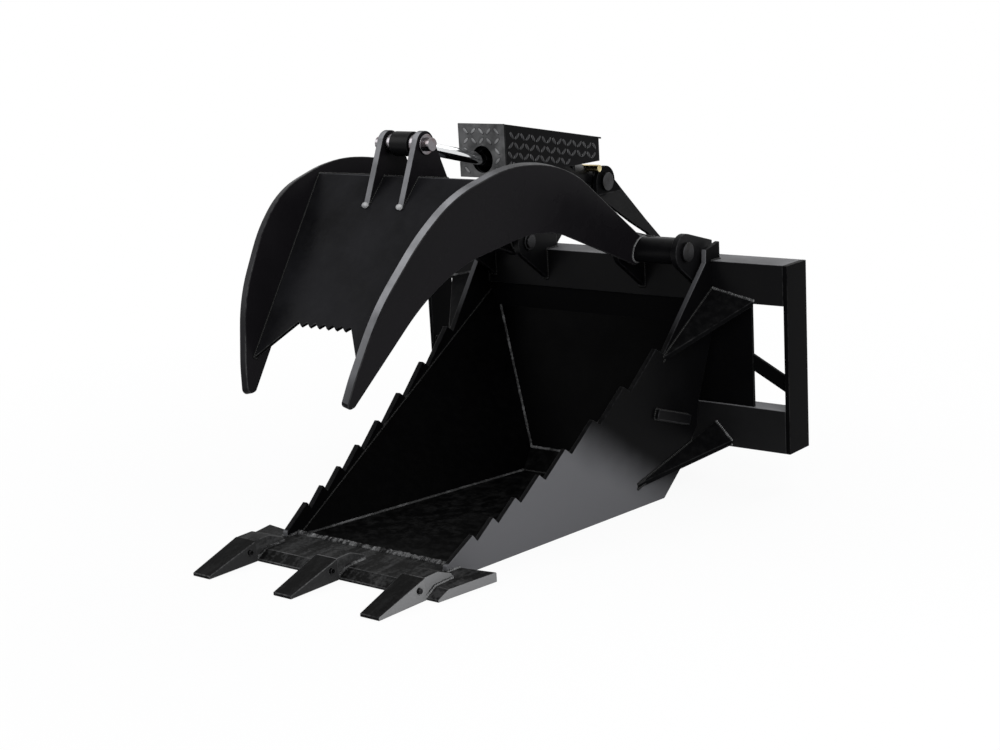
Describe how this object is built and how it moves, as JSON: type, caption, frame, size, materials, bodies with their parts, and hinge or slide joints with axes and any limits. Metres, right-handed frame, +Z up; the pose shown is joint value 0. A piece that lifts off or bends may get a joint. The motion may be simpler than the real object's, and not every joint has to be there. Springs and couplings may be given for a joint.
{
  "type": "stump grapple bucket",
  "caption": "Skid-steer stump bucket with serrated sides, chisel teeth and a hydraulic grapple arm of canted tines over it, on a universal loader mounting plate",
  "frame": {"origin": "middle of the bounding box's bottom, on the ground under the bucket", "axes": "+X across the bucket, its plane of symmetry at X = 0; +Y from the teeth towards the loader; +Z up"},
  "size_m": [1.144, 1.29, 0.95],
  "materials": {
    "black_paint": "semi-gloss",
    "guard_paint": "semi-gloss",
    "worn_black_steel": "satin",
    "hard_chrome": "polished",
    "zinc_pin": "satin",
    "bronze_bush": "satin",
    "brass_fitting": "satin"
  },
  "bodies": {
    "bucket": {"back_plate": "black_paint", "back_ribs": "black_paint", "base_pin": "zinc_pin", "base_pin_rings": "zinc_pin", "cutting_edge": "black_paint", "ear_inner_left": "black_paint", "ear_inner_right": "black_paint", "ear_outer_left": "black_paint", "ear_outer_right": "black_paint", "ear_tie_left": "black_paint", "ear_tie_right": "black_paint", "floor_plate": "black_paint", "heel_plate": "black_paint", "hinge_pin_keepers": "zinc_pin", "hinge_pin_left": "zinc_pin", "hinge_pin_right": "zinc_pin", "liner_left": "black_paint", "liner_right": "black_paint", "lower_gusset_left": "black_paint", "lower_gusset_right": "black_paint", "mount_bottom_bar": "black_paint", "mount_centre_plate": "black_paint", "mount_end_left": "black_paint", "mount_end_right": "black_paint", "mount_top_bar": "black_paint", "side_bar_left": "black_paint", "side_bar_right": "black_paint", "side_plate_left": "black_paint", "side_plate_right": "black_paint", "tooth_adapters": "worn_black_steel", "tooth_left": "worn_black_steel", "tooth_middle": "worn_black_steel", "tooth_pins": "zinc_pin", "tooth_right": "worn_black_steel", "tower_leg_left": "black_paint", "tower_leg_right": "black_paint", "upper_gusset_left": "black_paint", "upper_gusset_right": "black_paint", "window_brace_left": "black_paint", "window_brace_right": "black_paint"},
    "grapple": {"tine_left": "black_paint", "tine_right": "black_paint", "hinge_boss_left": "black_paint", "hinge_boss_right": "black_paint", "hinge_bushes": "bronze_bush", "grapple_skin": "black_paint", "lug_left": "black_paint", "lug_right": "black_paint", "lug_pin": "zinc_pin", "lug_pin_washers": "zinc_pin"},
    "rod": {"rod": "hard_chrome", "rod_eye_bush": "bronze_bush"},
    "barrel": {"barrel": "black_paint", "base_eye": "black_paint", "gland": "black_paint", "port_fittings": "brass_fitting", "guard_cover": "guard_paint", "guard_front": "guard_paint", "guard_brackets": "guard_paint"},
    "piston": {"piston": "zinc_pin"}
  },
  "joints": [
    {"name": "grapple_hinge", "type": "hinge", "parent": "bucket", "child": "grapple", "pos_m": [0, 0.477, 0.59], "axis": [1, 0, 0], "range_deg": [-26, 20]},
    {"name": "rod_pivot", "type": "hinge", "parent": "grapple", "child": "rod", "pos_m": [0, -0.145, 0.92], "axis": [1, 0, 0], "range_deg": [-1, 1]},
    {"name": "cylinder_pivot", "type": "hinge", "parent": "bucket", "child": "barrel", "pos_m": [0, 0.545, 0.745], "axis": [1, 0, 0], "range_deg": [-26, 20]},
    {"name": "piston_slide", "type": "slide", "parent": "barrel", "child": "piston", "axis": [0, -0.9693, 0.2458], "range_m": [-0.08, 0.06]}
  ],
  "couplings": [
    {"joint": "rod_pivot", "follows": "grapple_hinge", "ratio": -0.0253},
    {"joint": "cylinder_pivot", "follows": "grapple_hinge", "ratio": 0.9747},
    {"joint": "piston_slide", "follows": "grapple_hinge", "m_per_rad": 0.1635}
  ]
}
